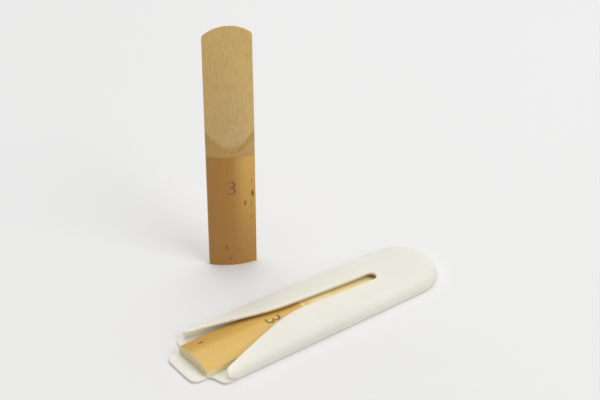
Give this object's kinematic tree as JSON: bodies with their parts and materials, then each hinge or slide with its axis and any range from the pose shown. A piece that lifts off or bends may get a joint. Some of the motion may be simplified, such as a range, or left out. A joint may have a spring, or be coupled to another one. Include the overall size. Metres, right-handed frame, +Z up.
{
  "type": "saxophone reed",
  "caption": "Cane saxophone reed with a long scraped vamp, standing on its heel beside a matching reed that slides in and out of a slotted plastic guard with curled wings.",
  "frame": {"origin": "centre of the base of the bounding box, on the plane that the guard's underside and the standing reed's heel rest on", "axes": "+X along the guard, from the heel of the reed in it to that reed's tip; +Y from the guard towards the standing reed; +Z up"},
  "size_m": [0.0796, 0.046, 0.0725],
  "materials": {
    "guard_plastic": "off-white moulded polypropylene, semi-matte",
    "cane": "dry reed cane: satin bark on the stock, matte scraped vamp, porous end grain"
  },
  "bodies": {
    "guard": {"reed_guard": "guard_plastic"},
    "reed_in_guard": {"guarded_reed": "cane"},
    "reed_on_heel": {"standing_reed": "cane"}
  },
  "joints": [
    {"name": "guarded_reed_slide", "type": "slide", "parent": "guard", "child": "reed_in_guard", "axis": [-1, 0, 0], "range_m": [0, 0.078]},
    {"name": "standing_reed_lift", "type": "slide", "parent": "guard", "child": "reed_on_heel", "axis": [0, 0, 1], "range_m": [0, 0.075]}
  ]
}
